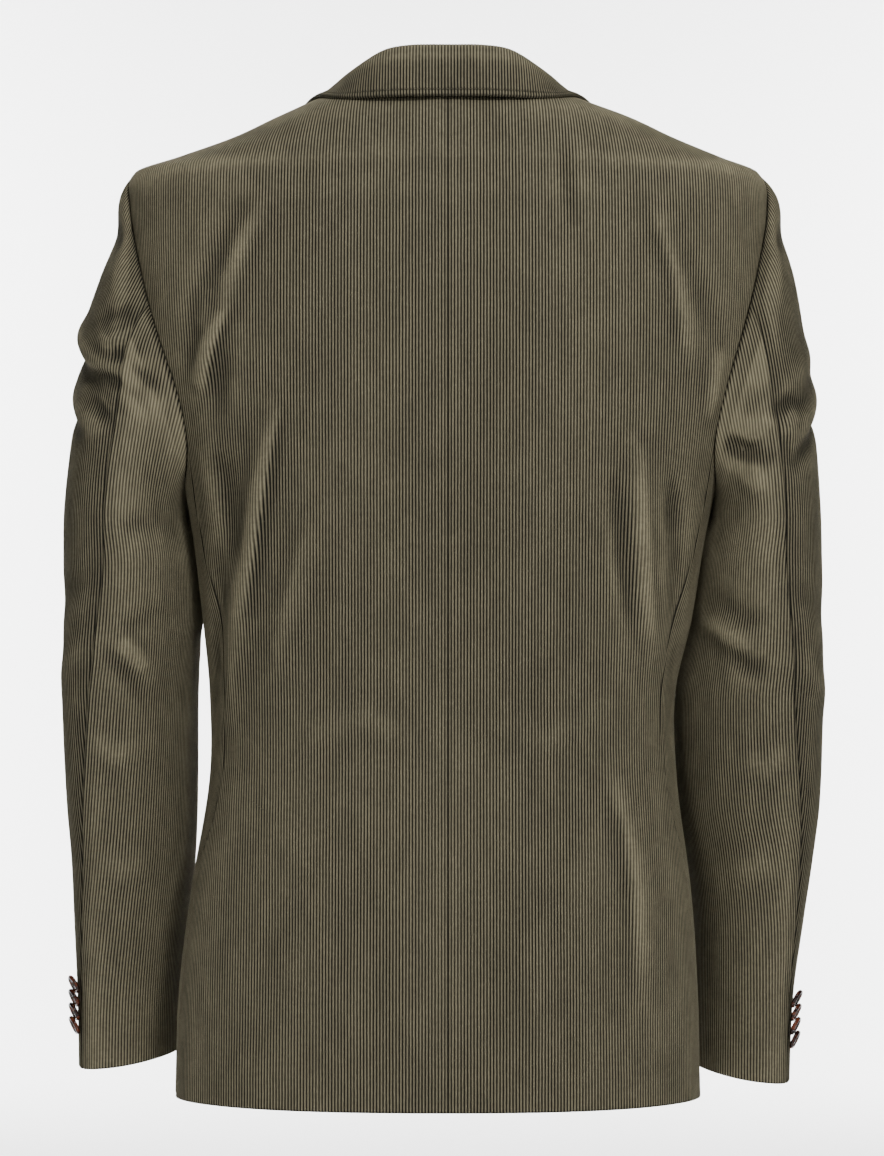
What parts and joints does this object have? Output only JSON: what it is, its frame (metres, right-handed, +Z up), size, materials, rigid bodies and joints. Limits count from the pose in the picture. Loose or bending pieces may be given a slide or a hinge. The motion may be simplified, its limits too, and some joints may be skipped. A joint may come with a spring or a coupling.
{
  "type": "corduroy jacket",
  "caption": "Single-breasted corduroy blazer, filled out as if worn, with notch lapels, side vents and buttoned cuffs.",
  "frame": {"origin": "middle of the neck opening, level with the seam at the back of the neck", "axes": "+Z up, +X towards the wearer's left, -Y towards the front"},
  "size_m": [0.5616, 0.265, 0.7675],
  "materials": {
    "corduroy": "wide-wale cotton corduroy, matt with a soft sheen on its ribs",
    "horn_button": "polished marbled brown"
  },
  "bodies": {
    "root": {"back_left": "corduroy", "side_left": "corduroy", "front_left": "corduroy", "lapel_left": "corduroy", "sleeve_top_left": "corduroy", "sleeve_under_left": "corduroy", "back_right": "corduroy", "side_right": "corduroy", "front_right": "corduroy", "lapel_right": "corduroy", "sleeve_top_right": "corduroy", "sleeve_under_right": "corduroy", "collar": "corduroy", "cuff_button_left_1": "horn_button", "cuff_button_left_2": "horn_button", "cuff_button_left_3": "horn_button", "cuff_button_left_4": "horn_button", "cuff_button_right_1": "horn_button", "cuff_button_right_2": "horn_button", "cuff_button_right_3": "horn_button", "cuff_button_right_4": "horn_button", "front_button_1": "horn_button", "front_button_2": "horn_button"}
  },
  "joints": []
}
